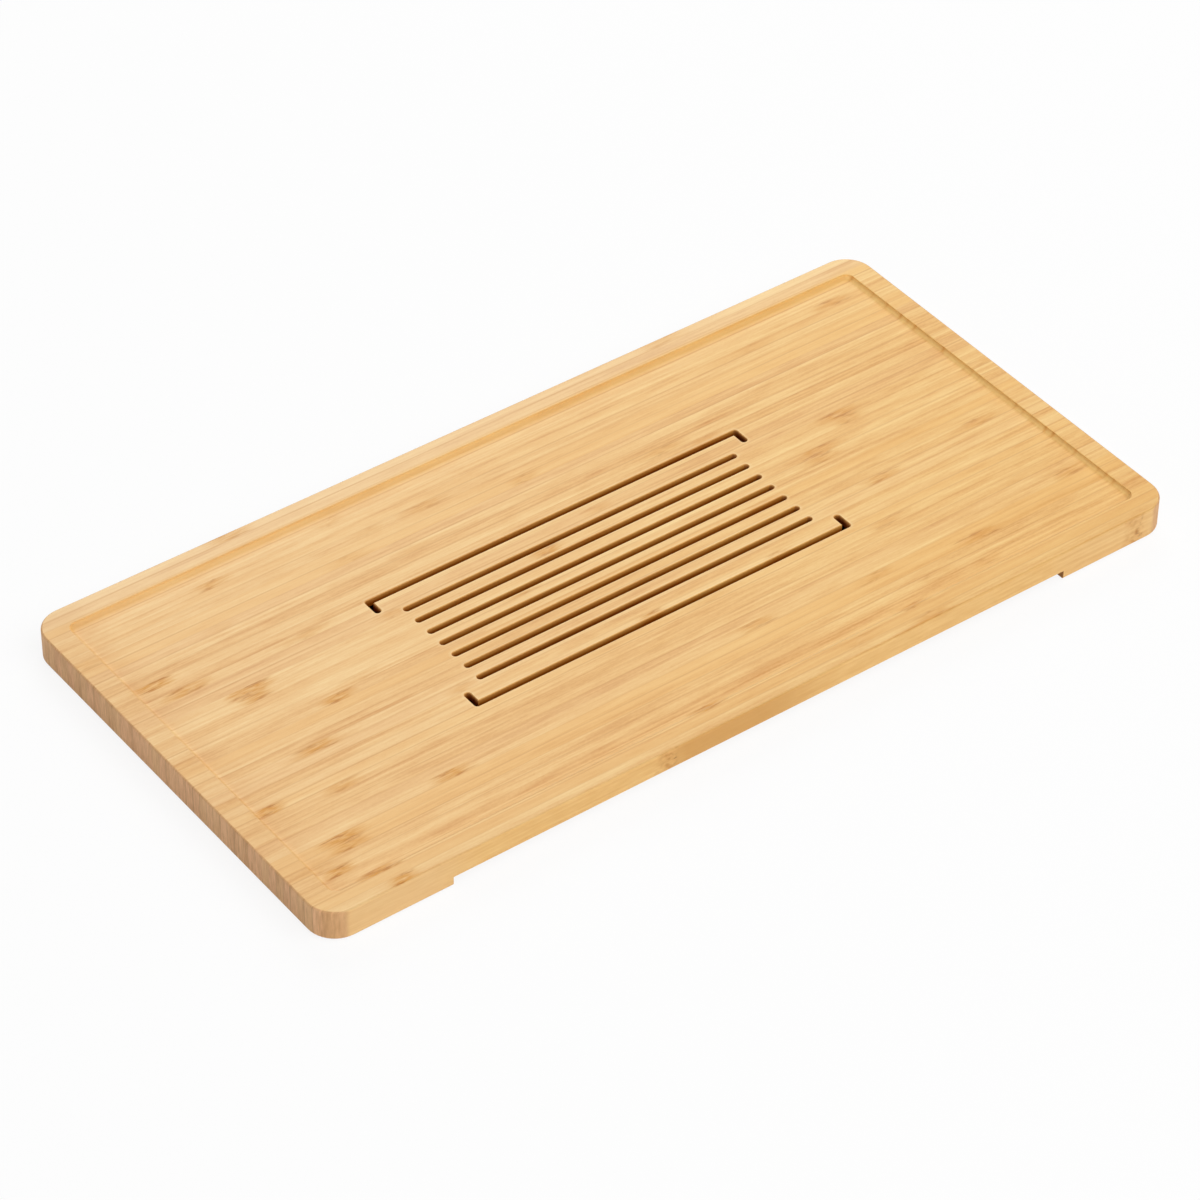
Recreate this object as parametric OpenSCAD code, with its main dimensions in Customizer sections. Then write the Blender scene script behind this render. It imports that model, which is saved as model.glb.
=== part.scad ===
// Gongfu tea tray: a bamboo board with a coved recess and a slotted grille, on two feet milled
// from the same board. A shallow water pan hangs under the grille and slides out to the rear.
// Origin: middle of the footprint, on the table. +X runs along the board, +Y to the rear, +Z up.

/* [Board] */
// Length of the board, along X
board_l = 600; // [520:10:800]
// Width of the board, front to rear
board_w = 300; // [260:10:400]
// Thickness of the board, feet included
board_t = 20; // [19:0.5:30]
// Radius of the board's corners, seen from above
corner_r = 18; // [10:1:30]
// Rounding along the board's top and bottom edges
edge_r = 1.2; // [0.6:0.1:2]
// Length of each foot, along X
foot_l = 83; // [60:1:100]
// Height of the gap milled between the feet
relief_h = 6; // [5:0.5:7]

/* [Recess] */
// Width of the rim round the recess
rim_w = 15; // [12:1:25]
// Depth of the recess
recess_d = 3; // [2:0.5:4]
// Radius of the recess's corners, seen from above
recess_corner_r = 6; // [6:1:15]
// Radius of the cove between the recess's wall and its floor
cove_r = 4; // [3:0.5:5]
// Rounding of the rim's inner edge
rim_edge_r = 0.6; // [0.3:0.1:1]

/* [Grille] */
// Number of straight slots
slot_count = 7; // [3:2:9]
// Overall length of a straight slot
slot_l = 240; // [160:5:260]
// Width of every slot
slot_w = 4; // [3:0.5:5]
// Distance between neighbouring slots, centre to centre
slot_pitch = 12; // [10:0.5:14]
// Distance from the outermost slot to the bracket slot beyond it, centre to centre
bracket_step = 17.5; // [14:0.5:24]
// Overall length of a bracket slot
bracket_l = 269; // [264:1:300]
// Overall length of a bracket slot's legs
bracket_leg = 13; // [8:0.5:16]
// Chamfer along the slots' upper edges
slot_chamfer = 0.4; // [0.2:0.1:0.8]
// Thickness of the board at the grille
grille_t = 5.5; // [4:0.5:6]

/* [Water pan] */
// How far the pan's inside reaches past the slots, at the front and the sides
drip_margin = 8; // [4:1:14]
// Distance from the board's rear edge to the pan's rear face
pan_setback = 24; // [22:1:50]
// Thickness of the pan's walls
pan_wall = 1.8; // [1.4:0.1:2.5]
// Thickness of the pan's floor
pan_floor = 1.8; // [1.4:0.1:2.5]
// Gap between the pan and the table
pan_ground_gap = 2.5; // [2:0.1:3]
// Inside radius of the pan's corners
pan_inner_r = 8; // [4:0.5:12]
// Radius of the cove between the pan's walls and its floor, inside
pan_cove_r = 3; // [2:0.5:3.5]
// Rounding under the pan's outer edge
pan_edge_r = 1.5; // [0.5:0.1:2]
// Rounding on both sides of the pan's rim
pan_rim_r = 0.5; // [0.2:0.1:0.6]
// How far the pan's side ribs stand out
rib_w = 4.5; // [3.5:0.5:7]
// Thickness of the side ribs
rib_t = 1.5; // [1.2:0.1:2]
// Width of the finger pull at the pan's rear
pull_w = 70; // [40:5:120]
// How far the finger pull reaches to the rear
pull_reach = 20; // [14:1:22]
// Height of the lip round the finger pull
pull_lip_h = 2.5; // [1.5:0.5:3.5]
// Width of the finger scoop milled under the board's rear edge, above the pull
scoop_w = 84; // [60:2:140]
// How much higher the finger scoop is than the bay
scoop_rise = 2.5; // [1:0.5:3]

/* [Runners] */
// Width of each runner, along X
runner_w = 15; // [13:1:20]
// Thickness of the runners
runner_t = 2; // [1.6:0.1:2.4]
// Length of the runners, front to rear
runner_l = 200; // [150:5:205]
// Number of screws in each runner
screws_per_runner = 3; // [2:1:4]
// Distance from a runner's end to its first screw
screw_end_gap = 10; // [6:1:20]
// Length of a screw
screw_l = 8; // [7:0.5:10]
// Diameter of a screw's shank
screw_d = 2.9; // [2.5:0.1:3.5]
// Diameter of a screw's head
screw_head_d = 5.6; // [5:0.1:6]

/* [Drain] */
// Distance from the pan's right side to the drain's axis
drain_inset = 40; // [20:5:70]
// Diameter of the spigot's thread, which goes through the pan's wall
thread_d = 6; // [5.8:0.1:6.4]
// Diameter of the spigot's tail, which a hose pushes onto
tail_d = 5.6; // [5.4:0.1:5.7]
// Bore of the spigot
spigot_bore_d = 4; // [3:0.1:4.4]
// Length of the spigot behind the pan's rear wall
spigot_l = 17; // [14:0.5:17]
// Diameter of the spigot's inner flange
flange_d = 8; // [7.6:0.1:9]
// Thickness of the inner flange
flange_t = 1.2; // [0.8:0.1:1.5]
// Height of the spigot's centre above the flat on its flange
flange_flat = 2.6; // [2.4:0.1:3]
// Thickness of the sealing washer
gasket_t = 1; // [0.8:0.1:1.5]
// Width of the nut, flat to flat
nut_flats = 8; // [7.5:0.1:8.5]
// Thickness of the nut
nut_t = 2; // [1.5:0.1:2.5]
// Length of the plug's stem, inside the spigot
plug_stem_l = 7; // [4:0.5:10]
// Length of the plug's head
plug_head_l = 4; // [3:0.5:5]
// Diameter of the plug's head
plug_head_d = 5.4; // [5:0.1:5.4]

/* [Pads] */
// Diameter of the foot pads
pad_d = 12; // [8:1:18]
// Thickness of the foot pads
pad_t = 2.5; // [2:0.1:4]
// How far the foot pads stand proud of the feet
pad_proud = 1.5; // [1:0.1:1.8]
// Distance from the board's ends to the pads' centres
pad_inset_x = 42; // [30:1:50]
// Distance from the board's long edges to the pads' centres
pad_inset_y = 30; // [25:1:60]

/* [Clearances] */
// Gap all round the pan where it slides, above the runners and beside them
slide_gap = 0.2; // [0.15:0.05:0.4]
// Gap between the pan's rim and the top of its bay
rim_gap = 0.4; // [0.3:0.1:0.8]
// Gap between the pan's ribs and the sides of its bay
bay_side_gap = 0.7; // [0.4:0.1:1.5]
// Gap between the pan and the front of its bay, when the pan is home
home_gap = 0.4; // [0.3:0.1:1]
// Radial gap round pads, screws and the spigot in their holes
hole_gap = 0.05; // [0.02:0.01:0.1]

/* [Hidden] */

$fn = 96;
over = 1;                                   // how far cuts run past the faces they open
wall_min = 0.3;                             // least height of a straight wall above a cove

// Heights above the table
foot_z = pad_proud;
relief_z = foot_z + relief_h;
board_z = foot_z + board_t;
recess_z = board_z - recess_d;
bay_z = recess_z - grille_t;
pan_z = pan_ground_gap;
pan_floor_z = pan_z + pan_floor;
pan_rim_z = bay_z - rim_gap;
runner_z = relief_z - runner_t;
rib_z = relief_z + slide_gap;
spigot_z = pan_floor_z + hole_gap + flange_flat;

// Grille
slot_r = slot_w / 2;
slot_half = slot_l / 2 - slot_r;
last_slot_y = slot_pitch * (slot_count - 1) / 2;
bracket_x = bracket_l / 2 - slot_r;
bracket_y = last_slot_y + bracket_step;
leg_run = bracket_leg - slot_w;

// Pan and the bay it slides in
pan_x = bracket_l / 2 + drip_margin + pan_wall;
pan_front = -(bracket_y + slot_r + drip_margin + pan_wall);
pan_rear = board_w / 2 - pan_setback;
pan_outer_r = pan_inner_r + pan_wall;
bay_x = pan_x + rib_w + bay_side_gap;
bay_front = pan_front - home_gap;
pull_r = 8;                                 // rounding of the finger pull's corners
pull_y = pan_rear + pull_reach;

// Runners
runner_in_x = pan_x + slide_gap;
runner_out_x = runner_in_x + runner_w;
runner_front = pan_front + 3;               // the runners start just behind the pan's front
screw_x = (bay_x + runner_out_x) / 2;
screw_span = runner_l - 2 * screw_end_gap;
screw_spots = [
    for (side = [-1, 1], i = [0 : screws_per_runner - 1])
        [side * screw_x, runner_front + screw_end_gap + i * screw_span / (screws_per_runner - 1)]
];
head_h = (screw_head_d - screw_d) / 2;      // a 90 degree countersunk head
screw_point = 2;                            // length of the screw's point
driver_w = 0.8;                             // width of the cross recess
driver_l = 3;                               // length of each arm of the cross recess
driver_deep = 1;                            // depth of the cross recess

// Drain
drain_x = pan_x - drain_inset;
wall_in_y = pan_rear - pan_wall;
gasket_y = pan_rear;
nut_y = gasket_y + gasket_t;
tail_y = nut_y + nut_t + 1;                 // the thread shows for 1 mm beyond the nut
tip_y = pan_rear + spigot_l;
tip_chamfer = 0.5;
plug_chamfer = 0.6;

// Pads
pad_sink = pad_t - pad_proud;
pad_x = board_l / 2 - pad_inset_x;
pad_y = board_w / 2 - pad_inset_y;
pad_chamfer = 0.5;

// Colours
bamboo = [0.90, 0.74, 0.51];
pan_black = [0.12, 0.12, 0.13];
steel = [0.74, 0.74, 0.74];
brass = [0.80, 0.64, 0.34];
silicone = [0.80, 0.79, 0.75];

// A block with round corners. The child is the section of its rim, drawn from the centre of the
// corner's arc (x = 0) out to the corner's radius.
module rimmed_block(size_x, size_y, corner, low, high) {
    in_x = size_x / 2 - corner;
    in_y = size_y / 2 - corner;
    translate([-in_x, -in_y, low])
        cube([2 * in_x, 2 * in_y, high - low]);
    for (side = [0 : 3]) {
        out = side % 2 == 0 ? in_x : in_y;
        along = side % 2 == 0 ? in_y : in_x;
        rotate([0, 0, 90 * side]) translate([out, along, 0]) {
            rotate([90, 0, 0]) linear_extrude(2 * along) children();
            rotate_extrude(angle = 90) children();
        }
    }
}

// Section of a slab's rim: rounded by low_r along its lower edge and high_r along its upper edge
module slab_section(corner, low, high, low_r, high_r) {
    translate([0, low]) square([corner - low_r, low_r]);
    translate([0, low + low_r]) square([corner, high - low - low_r - high_r]);
    translate([0, high - high_r]) square([corner - high_r, high_r]);
    translate([corner - low_r, low + low_r]) circle(low_r);
    translate([corner - high_r, high - high_r]) circle(high_r);
}

// Section of a hollow's rim: its floor, a cove, a straight wall and a rounded upper edge. In a
// shallow hollow, the cove ends where the straight wall would be lower than wall_min.
module hollow_section(corner, low, high, cove, edge) {
    wall = corner - edge;
    rise = min(cove, high - low - edge - wall_min);
    floor_end = wall - sqrt(cove * cove - (cove - rise) * (cove - rise));
    top = max(high, low + cove) + over;
    translate([0, low]) square([floor_end, top - low]);
    intersection() {
        translate([floor_end, low + cove]) circle(cove);
        translate([0, low]) square([wall, 2 * cove]);
    }
    translate([0, low + cove]) square([wall, top - low - cove]);
    difference() {
        translate([0, high - edge]) square([corner, top - high + edge]);
        translate([corner, high - edge]) circle(edge);
    }
}

// Flat shapes with rounded corners, either the two at the front or all four
module round_front(x, front, rear, r) {
    for (side = [-1, 1]) translate([side * (x - r), front + r]) circle(r);
    translate([-(x - r), front]) square([2 * (x - r), rear - front]);
    translate([-x, front + r]) square([2 * x, rear - front - r]);
}

module round_rect(x, front, rear, r) {
    for (side = [-1, 1], y = [front + r, rear - r]) translate([side * (x - r), y]) circle(r);
    translate([-(x - r), front]) square([2 * (x - r), rear - front]);
    translate([-x, front + r]) square([2 * x, rear - front - 2 * r]);
}

// A slot along a path of points: a round cutter's way through the grille, with chamfered edges
module slot_cut(path) {
    for (point = path) translate([point.x, point.y, 0]) {
        translate([0, 0, bay_z - over]) cylinder(r = slot_r, h = grille_t + 2 * over);
        translate([0, 0, recess_z - slot_chamfer])
            cylinder(r1 = slot_r, r2 = slot_r + slot_chamfer, h = slot_chamfer);
    }
    for (i = [1 : len(path) - 1]) {
        run = path[i] - path[i - 1];
        translate([path[i - 1].x, path[i - 1].y, 0])
            rotate([90, 0, 90 + atan2(run.y, run.x)])
                linear_extrude(norm(run)) slot_section();
    }
}

module slot_section() {
    translate([-slot_r, bay_z - over]) square([slot_w, grille_t + 2 * over]);
    polygon([
        [-slot_r, recess_z - slot_chamfer], [slot_r, recess_z - slot_chamfer],
        [slot_r + slot_chamfer, recess_z], [-slot_r - slot_chamfer, recess_z]
    ]);
}

module grille_cuts() {
    for (i = [0 : slot_count - 1]) {
        y = i * slot_pitch - last_slot_y;
        slot_cut([[-slot_half, y], [slot_half, y]]);
    }
    for (side = [-1, 1]) {
        leg_y = side * (bracket_y - leg_run);
        slot_cut([
            [-bracket_x, leg_y], [-bracket_x, side * bracket_y],
            [bracket_x, side * bracket_y], [bracket_x, leg_y]
        ]);
    }
}

// One board, milled from both sides
module bamboo_board() {
    color(bamboo) difference() {
        rimmed_block(board_l, board_w, corner_r, foot_z, board_z)
            slab_section(corner_r, foot_z, board_z, edge_r, edge_r);
        rimmed_block(
            board_l - 2 * rim_w, board_w - 2 * rim_w, recess_corner_r, recess_z, board_z + over
        ) hollow_section(recess_corner_r, recess_z, board_z, cove_r, rim_edge_r);
        grille_cuts();
        // The gap between the feet
        translate([-(board_l / 2 - foot_l), -board_w / 2 - over, foot_z - over])
            cube([board_l - 2 * foot_l, board_w + 2 * over, relief_h + over]);
        // The bay for the pan, open at the rear, and the scoop for fingers above its pull
        translate([0, 0, relief_z - over])
            linear_extrude(bay_z - relief_z + over)
                round_front(bay_x, bay_front, board_w / 2 + over, pan_outer_r);
        translate([0, 0, relief_z - over])
            linear_extrude(bay_z + scoop_rise - relief_z + over)
                round_front(scoop_w / 2, pan_rear, board_w / 2 + over, pull_r);
        // Pilot holes for the runner screws
        for (spot = screw_spots)
            translate([spot.x, spot.y, relief_z - over])
                cylinder(d = screw_d + 2 * hole_gap, h = screw_l - runner_t + over + hole_gap);
        // Seats for the foot pads
        for (x = [-pad_x, pad_x], y = [-pad_y, pad_y])
            translate([x, y, foot_z - over])
                cylinder(d = pad_d + 2 * hole_gap, h = pad_sink + over);
    }
}

// The pan, moulded in one piece with its side ribs and its finger pull
module water_pan() {
    mid_y = (pan_front + pan_rear) / 2;
    depth = pan_rear - pan_front;
    color(pan_black) {
        difference() {
            translate([0, mid_y, 0])
                rimmed_block(2 * pan_x, depth, pan_outer_r, pan_z, pan_rim_z)
                    slab_section(pan_outer_r, pan_z, pan_rim_z, pan_edge_r, pan_rim_r);
            translate([0, mid_y, 0])
                rimmed_block(
                    2 * (pan_x - pan_wall + pan_rim_r), depth - 2 * (pan_wall - pan_rim_r),
                    pan_inner_r + pan_rim_r, pan_floor_z, pan_rim_z + over
                ) hollow_section(
                    pan_inner_r + pan_rim_r, pan_floor_z, pan_rim_z, pan_cove_r, pan_rim_r
                );
            at_drain(wall_in_y - over)
                cylinder(d = thread_d + 2 * hole_gap, h = pan_wall + 2 * over);
            // A flat seat for the spigot's flange, cut through the cove
            translate([drain_x - flange_d / 2 - hole_gap, wall_in_y - pan_cove_r, pan_floor_z])
                cube([flange_d + 2 * hole_gap, pan_cove_r, flange_d]);
        }
        for (side = [-1, 1])
            translate([side * (pan_x + rib_w / 2), mid_y, rib_z + rib_t / 2])
                cube([rib_w, depth - 2 * pan_outer_r, rib_t], center = true);
        finger_pull();
    }
}

// A shallow dish behind the pan's rear wall, with a lip for the fingers
module finger_pull() {
    root_y = pan_rear - 2 * pull_r;
    difference() {
        translate([0, 0, pan_z])
            linear_extrude(pan_floor + pull_lip_h)
                round_rect(pull_w / 2, root_y, pull_y, pull_r);
        translate([0, 0, pan_floor_z])
            linear_extrude(pull_lip_h + over)
                round_rect(pull_w / 2 - pan_wall, root_y, pull_y - pan_wall, pull_r - pan_wall);
        // It ends inside the pan's rear wall
        translate([-pull_w / 2 - over, root_y - over, pan_z - over])
            cube([pull_w + 2 * over, pan_rear - pan_wall / 2 - root_y + over, pan_rim_z]);
    }
}

// A flat strip under the board, which carries one of the pan's ribs on its inner edge
module runner(side) {
    mid_x = side * (runner_in_x + runner_w / 2);
    color(pan_black) difference() {
        translate([mid_x, runner_front + runner_l / 2, runner_z + runner_t / 2])
            cube([runner_w, runner_l, runner_t], center = true);
        for (spot = screw_spots) if (spot.x * side > 0)
            translate([spot.x, spot.y, runner_z]) {
                translate([0, 0, -over])
                    cylinder(d = screw_d + 2 * hole_gap, h = runner_t + 2 * over);
                cylinder(
                    d1 = screw_head_d + 2 * hole_gap, d2 = screw_d + 2 * hole_gap, h = head_h
                );
            }
    }
}

module left_runner() {
    runner(-1);
}

module right_runner() {
    runner(1);
}

// Countersunk screws with a cross recess, heads down
module runner_screws() {
    color(steel) for (spot = screw_spots) translate([spot.x, spot.y, runner_z]) difference() {
        union() {
            cylinder(d1 = screw_head_d, d2 = screw_d, h = head_h);
            cylinder(d = screw_d, h = screw_l - screw_point);
            translate([0, 0, screw_l - screw_point])
                cylinder(d1 = screw_d, d2 = screw_d / 4, h = screw_point);
        }
        for (turn = [0, 90]) rotate([0, 0, turn])
            cube([driver_l, driver_w, 2 * driver_deep], center = true);
    }
}

// Turns a shape drawn along +Z so that it lies along +Y, on the drain's axis, starting at y
module at_drain(y) {
    translate([drain_x, y, spigot_z]) rotate([-90, 0, 0]) children();
}

// The spigot goes through the pan's rear wall. The flat on its flange rests on the pan's floor.
module drain_spigot() {
    color(brass) difference() {
        union() {
            at_drain(wall_in_y) cylinder(d = thread_d, h = tail_y - wall_in_y);
            at_drain(tail_y) cylinder(d = tail_d, h = tip_y - tip_chamfer - tail_y);
            at_drain(tip_y - tip_chamfer)
                cylinder(d1 = tail_d, d2 = tail_d - 2 * tip_chamfer, h = tip_chamfer);
            intersection() {
                at_drain(wall_in_y - flange_t) cylinder(d = flange_d, h = flange_t);
                translate([drain_x - flange_d, wall_in_y - flange_t, spigot_z - flange_flat])
                    cube([2 * flange_d, flange_t, 2 * flange_d]);
            }
        }
        at_drain(wall_in_y - flange_t - over)
            cylinder(d = spigot_bore_d, h = tip_y - wall_in_y + flange_t + 2 * over);
    }
}

module spigot_gasket() {
    color(silicone) at_drain(gasket_y) difference() {
        cylinder(d = nut_flats, h = gasket_t);
        translate([0, 0, -over]) cylinder(d = thread_d + 2 * hole_gap, h = gasket_t + 2 * over);
    }
}

// A hexagonal nut with two of its flats level
module spigot_nut() {
    color(brass) at_drain(nut_y) difference() {
        cylinder(d = nut_flats / cos(30), h = nut_t, $fn = 6);
        translate([0, 0, -over]) cylinder(d = thread_d + 2 * hole_gap, h = nut_t + 2 * over);
    }
}

// A stopper whose stem fills the spigot's bore and whose head closes its end
module drain_plug() {
    color(silicone) {
        at_drain(tip_y - plug_stem_l) cylinder(d = spigot_bore_d - 2 * hole_gap, h = plug_stem_l);
        at_drain(tip_y) cylinder(d = plug_head_d, h = plug_head_l - plug_chamfer);
        at_drain(tip_y + plug_head_l - plug_chamfer)
            cylinder(d1 = plug_head_d, d2 = plug_head_d - 2 * plug_chamfer, h = plug_chamfer);
    }
}

// A foot pad in its seat, at one corner of the board
module foot_pad(side_x, side_y) {
    color(silicone) translate([side_x * pad_x, side_y * pad_y, 0]) {
        cylinder(d1 = pad_d - 2 * pad_chamfer, d2 = pad_d, h = pad_chamfer);
        translate([0, 0, pad_chamfer]) cylinder(d = pad_d, h = pad_t - pad_chamfer);
    }
}

module front_left_pad() {
    foot_pad(-1, -1);
}

module front_right_pad() {
    foot_pad(1, -1);
}

module rear_left_pad() {
    foot_pad(-1, 1);
}

module rear_right_pad() {
    foot_pad(1, 1);
}

bamboo_board();
water_pan();
left_runner();
right_runner();
runner_screws();
drain_spigot();
spigot_gasket();
spigot_nut();
drain_plug();
front_left_pad();
front_right_pad();
rear_left_pad();
rear_right_pad();
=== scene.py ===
"""Looks of the gongfu tea tray: side-pressed bamboo, a black water pan and its small parts."""

import math
import random

import bmesh
import bpy
from mathutils import Matrix, Vector


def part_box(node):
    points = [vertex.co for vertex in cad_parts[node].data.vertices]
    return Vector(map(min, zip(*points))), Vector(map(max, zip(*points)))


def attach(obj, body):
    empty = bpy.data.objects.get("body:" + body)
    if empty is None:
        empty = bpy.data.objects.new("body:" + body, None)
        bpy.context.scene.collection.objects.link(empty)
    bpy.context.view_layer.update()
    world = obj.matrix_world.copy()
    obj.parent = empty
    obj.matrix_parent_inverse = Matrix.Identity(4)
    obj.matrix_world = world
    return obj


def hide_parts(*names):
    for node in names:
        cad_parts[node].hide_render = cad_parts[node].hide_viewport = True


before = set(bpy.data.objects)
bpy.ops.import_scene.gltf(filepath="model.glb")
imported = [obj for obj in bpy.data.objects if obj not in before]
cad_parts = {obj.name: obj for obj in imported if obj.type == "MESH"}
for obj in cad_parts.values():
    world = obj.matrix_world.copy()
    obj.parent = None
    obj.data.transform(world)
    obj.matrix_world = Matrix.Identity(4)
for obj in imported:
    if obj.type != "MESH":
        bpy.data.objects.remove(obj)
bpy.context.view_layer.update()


def srgb(red, green, blue):
    """A colour as it looks on a screen, from 0 to 255, as linear values."""
    def linear(value):
        value = value / 255
        return value / 12.92 if value <= 0.04045 else ((value + 0.055) / 1.055) ** 2.4
    return (linear(red), linear(green), linear(blue), 1.0)


# The board, in millimetres in the row frame
MM = 1000                        # millimetres in a metre
BOARD_LOW, BOARD_HIGH = (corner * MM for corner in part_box("bamboo_board"))
RIM_W = 15
RIM_X = BOARD_HIGH.x - RIM_W     # the rim's inner edges
RIM_Y = BOARD_HIGH.y - RIM_W
RECESS_DEPTH = 3
RECESS_Z = BOARD_HIGH.z - RECESS_DEPTH
SLOT_R = 2
SLOT_PITCH = 12
SLOT_ROWS = 3                    # rows of slots on each side of the middle one
SLOT_HALF = 118                  # from the middle to a straight slot's end centre
BRACKET_X = 132.5                # centre line of the bracket slots' legs
BRACKET_Y = 53.5                 # centre line of the bracket slots' long run
LEG_Y = 44.5                     # where the legs end
FOOT_INNER_X = 217               # where the feet end, towards the middle
FOOT_TOP_Z = 7.5                 # the height of the gap between the feet
NEAR_ENOUGH = 1                  # how far a face may be from the plane that it is told by
JUST_ABOVE = 0.05                # how far above the recess's floor its walls start
STRIPS = 44                      # strips of bamboo pressed side by side across the board
STRIP_W = (BOARD_HIGH.y - BOARD_LOW.y) / STRIPS
JOINT_WOBBLE = 0.03              # how far a joint between two strips wanders, in strip widths

# Knuckles of the bamboo that show on top: x, y in millimetres and how strongly each one shows
KNUCKLES = [
    (-167, 146, 0.5), (-196, 118, 0.7), (-57, 109, 0.5), (260, 120, 0.7), (5, 91, 0.5),
    (88, 62, 0.5), (-271, 62, 1.0), (-258, 50, 0.8), (-229, 34, 1.0), (-229, 27, 0.8),
    (-23, 30, 1.0), (192, 34, 0.9), (196, 27, 0.6), (161, 9, 0.8), (158, 2, 0.6),
    (-57, 12, 0.6), (-192, -1, 0.9), (108, -8, 0.5), (258, -25, 0.6), (-225, -34, 0.8),
    (177, -34, 0.7), (-8, -49, 0.8), (-275, -55, 1.0), (85, -54, 0.6), (-231, -67, 0.6),
    (155, -68, 0.5), (-177, -90, 0.9), (36, -89, 0.6), (270, -89, 0.7), (-254, -97, 1.0),
    (-254, -104, 0.8), (117, -97, 0.5), (190, -103, 0.8), (-271, -117, 1.0), (-254, -130, 1.0),
    (117, -130, 0.6), (-31, -136, 0.8), (120, -144, 0.6), (-248, -146, 0.9),
]
KNUCKLES_PER_STRIP = 3
KNUCKLE_SEED = 5
FAINT_KNUCKLE = (0.15, 0.4)      # how strongly the others may show, which are placed at random
FAR_OFF = 700                    # where an absent knuckle is put, in millimetres

# A knuckle's marks: half their lengths along the strip in millimetres. Heights are across the
# strip, from 0 in its middle to 1 at its joints
PATCH_HALF = 18
DASH_HALF = 9
DASH_SHIFT = 4.5                 # the dashes on a strip's two sides are shifted, one each way
DASH_HEIGHT = 0.68
DASH_HALF_HEIGHT = 0.36
SCAR_HALF = 2.4
SCAR_SLANT = 2.5
FLECK_HALF = 4.5
FLECK_HALF_HEIGHT = 0.6
KNUCKLE_SIZES = (0.75, 1.45)     # the shortest and the longest, in the lengths above
KNUCKLE_TEAR = 7                 # how far its outline is torn along the fibres
FRAY = (0.5, 1.2)                # how strongly a frayed stretch shows, from the faintest to the boldest

# The long edges show a strip's broad side, with a ring at each knuckle
FRONT_KNUCKLES = (-72, 271)
REAR_KNUCKLES = (-196, 74)
RING_HALF = 11
RING_EDGE_SHIFT = 4
RING_EDGE_HALF = 3.2
AGED_STARTS = (-76, -58)         # a darker stretch of the front edge sets in between these
AGED_ENDS = (60, -10)            # and is gone at the first, whole at the second
KNUCKLE_BEND = 4                 # how far a ring wanders along X
BROAD_PALENESS = 0.60            # where the side lies between its dark and its pale colour
MOTTLE_WEIGHT = 0.45
LONG_GRAIN_WEIGHT = 0.50
LEFT_FOOT_FROM = (-190, -235)
RIGHT_FOOT_FROM = (190, 235)
LEFT_FOOT_SHARE = 0.35           # how strongly the feet take on their own colour
RIGHT_FOOT_SHARE = 0.16

# Layers of the grain: lengths along X, Y and Z in millimetres, seed, how much each one lightens
# the wood and how much it raises the surface
GRAIN = {
    "slow changes": ((170, 40, 50), 2.4, 0.26, 0),
    "bands": ((120, 2.6, 3.2), 1.7, 0.34, 0),
    "long lines": ((430, 1.6, 2.0), 6.3, 0.20, 0),
    "blotches": ((22, 3.4, 3.6), 3.6, 0.24, 0),
    "streaks": ((26, 1.2, 1.7), 5.2, 0.20, 0.3),
    "fibres": ((26, 0.5, 0.6), 8.4, 0.03, 0.5),
    "pores": ((2.2, 0.9, 1.0), 3.9, 0.12, 0.4),
}
GRAIN_DETAIL = 1
LANE_SHIFT = 613                 # how far apart two strips' grain is taken from the same noise
LIGHTNESS = 0.52                 # the middle of the scale that the layers move along
TONE_WEIGHT = 0.28               # how much the strips' own tones differ
SIDE_WEIGHT = 0.22               # how much one side of a strip is lighter than the other
CLOUD_WEIGHT = 0.15              # how much wide clouds across all strips show
JOINT_LINE = (0.85, 0.10)        # how far from a joint its line is gone, and where it is whole
JOINT_SHOWS = (0.03, 0.36)       # how strongly the faintest joint shows, and the boldest
JOINT_SHIFT = 47                 # how far apart two joints' patches are taken from the same noise
JOINT_DEPTH = 2                  # how deep joints and vessels are, next to the layers' heights
VESSEL_DEPTH = 0.8
GOLDEN_HUES = (0.55, 1.0)        # strips whose random hue is in here are golden, the last ones most
ROSY_HUES = (0.45, 0.0)

# The strips cut across show upright stripes and dots of fibre
STRIPE_W = 0.8
STRIPE_H = 10
STRIPE_SHIFT = 9.1               # how far apart two strips' stripes are taken from the same noise
DOTS_PER_MM = 1.5
DOT_STRETCH = 20                 # how much longer a fibre is than it is wide
DOT_SHARE = 0.5                  # how strongly dots show in the middle of a strip
DOT_SIDE_WEIGHT = 0.9            # how much more they show on one side
CUT_DARKNESS = 0.18              # where the cut lies between its own colours and the stripes'
CUT_STRIPE_WEIGHT = 0.95
CUT_TONE_WEIGHT = 0.22
CUT_SIDE_WEIGHT = 0.35

# Where shades change, in millimetres: each starts at the first value and is whole at the second
# the painted sheen on the rear rim, and the painted shade on the front rim and on the left end
REAR_RIM_FROM = (RIM_Y - 2, RIM_Y + 4)
FRONT_RIM_FROM = (-RIM_Y + 2, -RIM_Y - 4)
LEFT_END_FROM = (-RIM_X + 25, -RIM_X + 4)
EDGE_FROM = (BOARD_HIGH.y - 2.5, BOARD_HIGH.y - 1.5)
TICK_HALF = 2.2                  # the joints' ticks on the recess's right wall
LIP_GAP = (2.6, 0.3)             # the painted highlight on a slot's lip, by distance from its wall
LIP_DEPTH = (0.9, 0.5)           # and by depth below the recess's floor
SLOT_WALL_GAP = (0.55, 0.15)     # a slot's wall, where painted shade goes, by distance from it
SLOT_SHADE_DEPTH = (-0.4, 4.0)       # the slots' painted shade, by depth below the recess's floor
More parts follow.
